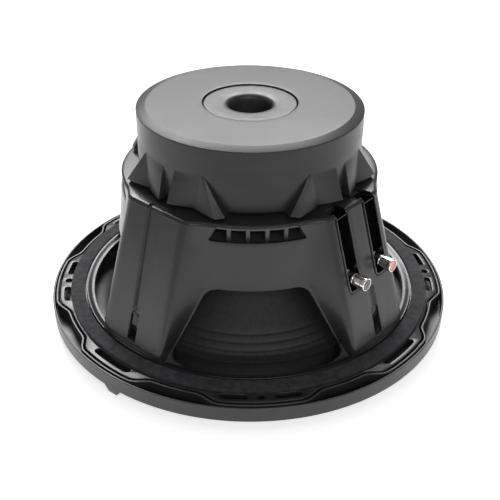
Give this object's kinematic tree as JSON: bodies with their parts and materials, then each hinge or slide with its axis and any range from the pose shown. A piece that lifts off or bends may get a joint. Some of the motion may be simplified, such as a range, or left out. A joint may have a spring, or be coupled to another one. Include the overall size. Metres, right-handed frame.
{
  "type": "car subwoofer speaker",
  "caption": "Round car subwoofer driver standing on its front ring: windowed basket, rubber-booted vented magnet, sprung cone and push terminals.",
  "frame": {"origin": "on the speaker's axis, at the flat front crest of the trim ring that it stands on", "axes": "+Z along the axis from the front ring to the magnet; -Y and +X point at the middle of two of the four cone windows; the terminal legs lie between +X and -Y and between -X and +Y"},
  "size_m": [0.329, 0.329, 0.1804],
  "materials": {
    "trim_ring": "satin",
    "basket_paint": "satin",
    "gasket_foam": "matte",
    "surround_rubber": "matte",
    "cone": "matte",
    "spider_cloth": "matte",
    "spacer_plastic": "satin",
    "former_aluminium": "satin",
    "winding_wire": "gloss",
    "zinc_steel": "satin",
    "ferrite": "matte",
    "back_plate_steel": "satin",
    "boot_rubber": "satin",
    "terminal_plastic": "gloss",
    "nickel": "gloss",
    "marker_red": "gloss",
    "marker_black": "gloss",
    "tinsel_braid": "satin"
  },
  "bodies": {
    "frame": {"basket": "basket_paint", "trim_ring": "trim_ring", "rear_gasket": "gasket_foam", "surround": "surround_rubber", "spider": "spider_cloth", "spacer_ring": "spacer_plastic", "front_plate": "zinc_steel", "magnet_front": "ferrite", "magnet_rear": "ferrite", "shorting_ring": "former_aluminium", "back_plate": "back_plate_steel", "magnet_boot": "boot_rubber", "motor_screw_1": "zinc_steel", "motor_screw_2": "zinc_steel", "motor_screw_3": "zinc_steel", "motor_screw_4": "zinc_steel", "terminal_housing_a": "terminal_plastic", "terminal_housing_b": "terminal_plastic", "terminal_post_a_plus": "nickel", "terminal_post_a_minus": "nickel", "terminal_post_b_plus": "nickel", "terminal_post_b_minus": "nickel", "tinsel_lead_a_plus": "tinsel_braid", "tinsel_lead_a_minus": "tinsel_braid", "tinsel_lead_b_plus": "tinsel_braid", "tinsel_lead_b_minus": "tinsel_braid"},
    "moving_cone": {"cone": "cone", "dust_cap": "cone", "coil_former": "former_aluminium", "winding_front": "winding_wire", "winding_rear": "winding_wire"},
    "push_a_plus": {"terminal_cap_a_plus": "nickel", "terminal_marker_a_plus": "marker_red"},
    "push_a_minus": {"terminal_cap_a_minus": "nickel", "terminal_marker_a_minus": "marker_black"},
    "push_b_plus": {"terminal_cap_b_plus": "nickel", "terminal_marker_b_plus": "marker_red"},
    "push_b_minus": {"terminal_cap_b_minus": "nickel", "terminal_marker_b_minus": "marker_black"}
  },
  "joints": [
    {"name": "cone_travel", "type": "slide", "parent": "frame", "child": "moving_cone", "axis": [0, 0, 1], "range_m": [-0.012, 0.012], "stiffness_N_per_m": 5200, "deforming": ["surround", "spider", "tinsel_lead_a_plus", "tinsel_lead_a_minus", "tinsel_lead_b_plus", "tinsel_lead_b_minus"]},
    {"name": "press_a_plus", "type": "slide", "parent": "frame", "child": "push_a_plus", "axis": [-0.7071, 0.7071, 0], "range_m": [0, 0.003], "stiffness_N_per_m": 1500, "springref_m": -0.003},
    {"name": "press_a_minus", "type": "slide", "parent": "frame", "child": "push_a_minus", "axis": [-0.7071, 0.7071, 0], "range_m": [0, 0.003], "stiffness_N_per_m": 1500, "springref_m": -0.003},
    {"name": "press_b_plus", "type": "slide", "parent": "frame", "child": "push_b_plus", "axis": [0.7071, -0.7071, 0], "range_m": [0, 0.003], "stiffness_N_per_m": 1500, "springref_m": -0.003},
    {"name": "press_b_minus", "type": "slide", "parent": "frame", "child": "push_b_minus", "axis": [0.7071, -0.7071, 0], "range_m": [0, 0.003], "stiffness_N_per_m": 1500, "springref_m": -0.003}
  ]
}
